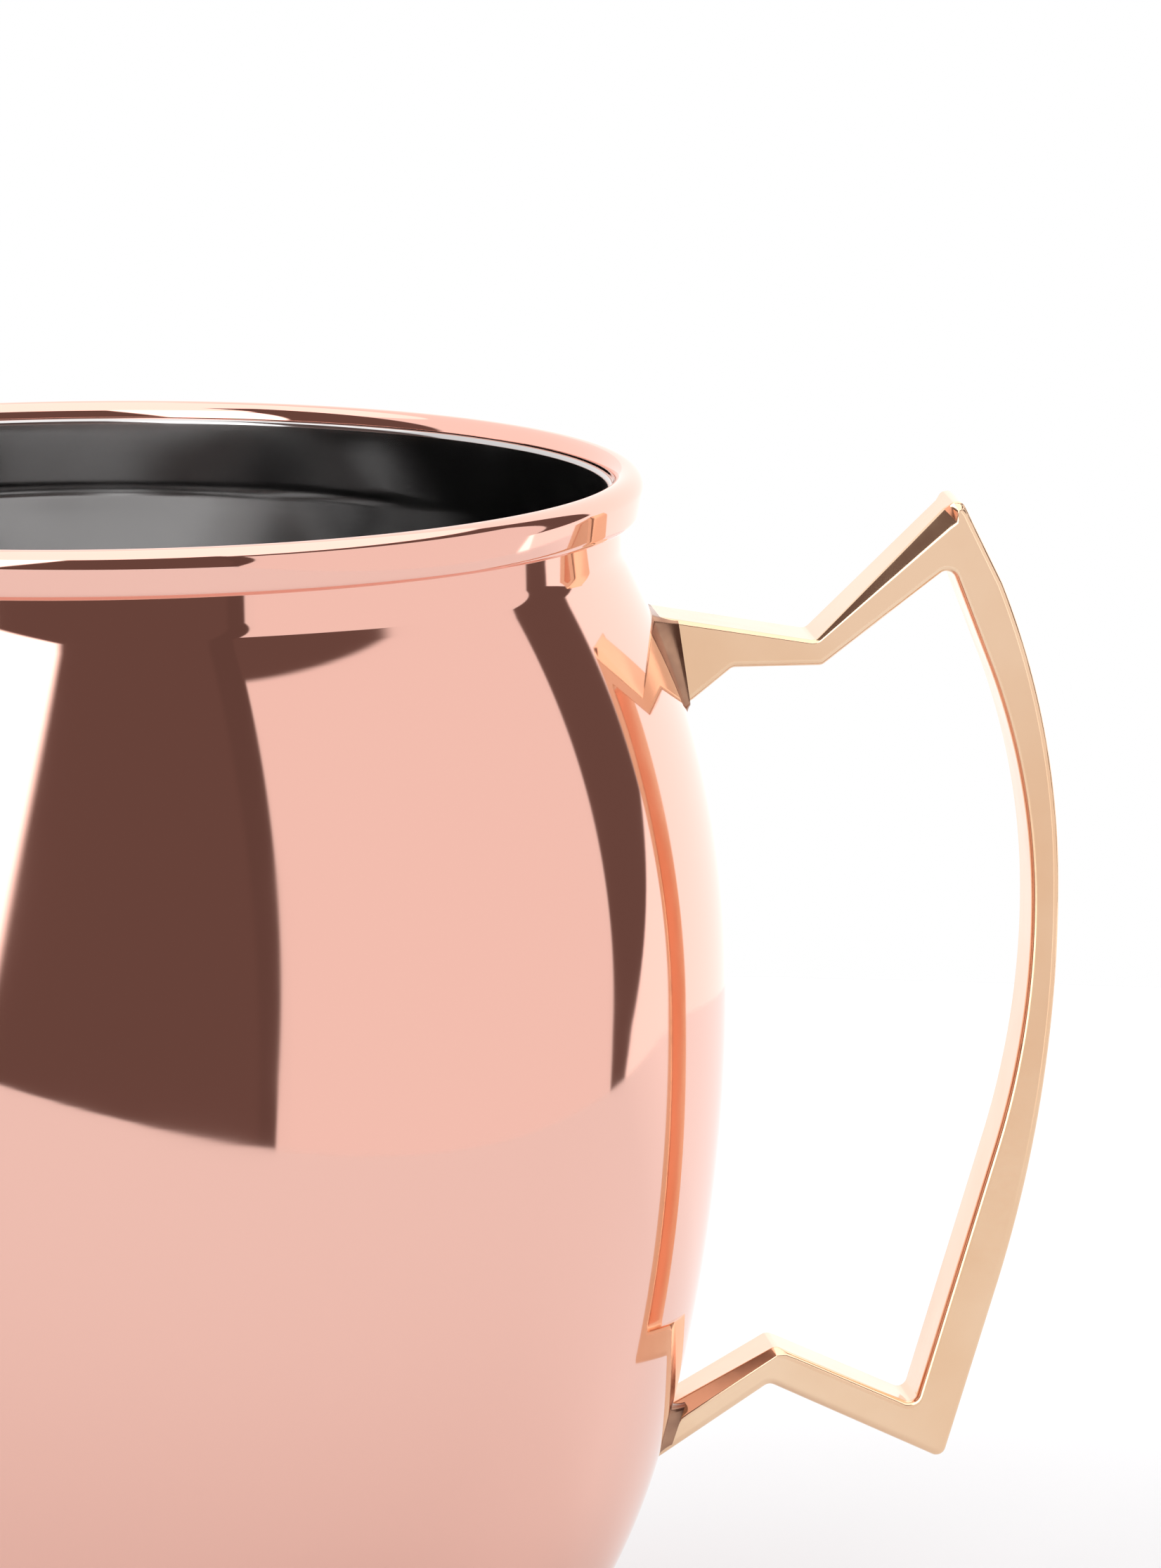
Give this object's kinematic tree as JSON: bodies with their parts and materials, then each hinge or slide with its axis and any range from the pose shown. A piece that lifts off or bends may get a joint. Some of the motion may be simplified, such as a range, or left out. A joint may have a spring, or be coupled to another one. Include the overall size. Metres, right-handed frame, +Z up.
{
  "type": "copper mug",
  "caption": "Barrel-shaped copper drinking mug with a rolled rim, a steel lining and an angular cranked brass side handle.",
  "frame": {"origin": "centre of the flat base, on the barrel's axis", "axes": "+Z up along the barrel's axis, +X from the axis towards the handle"},
  "size_m": [0.1171, 0.0926, 0.092],
  "materials": {
    "copper": "polished copper",
    "lining": "satin stainless steel",
    "brass": "polished cast brass",
    "braze": "polished brazing metal"
  },
  "bodies": {
    "root": {"barrel_shell": "copper", "inner_lining": "lining", "handle": "brass", "upper_braze": "braze", "lower_braze": "braze"}
  },
  "joints": []
}
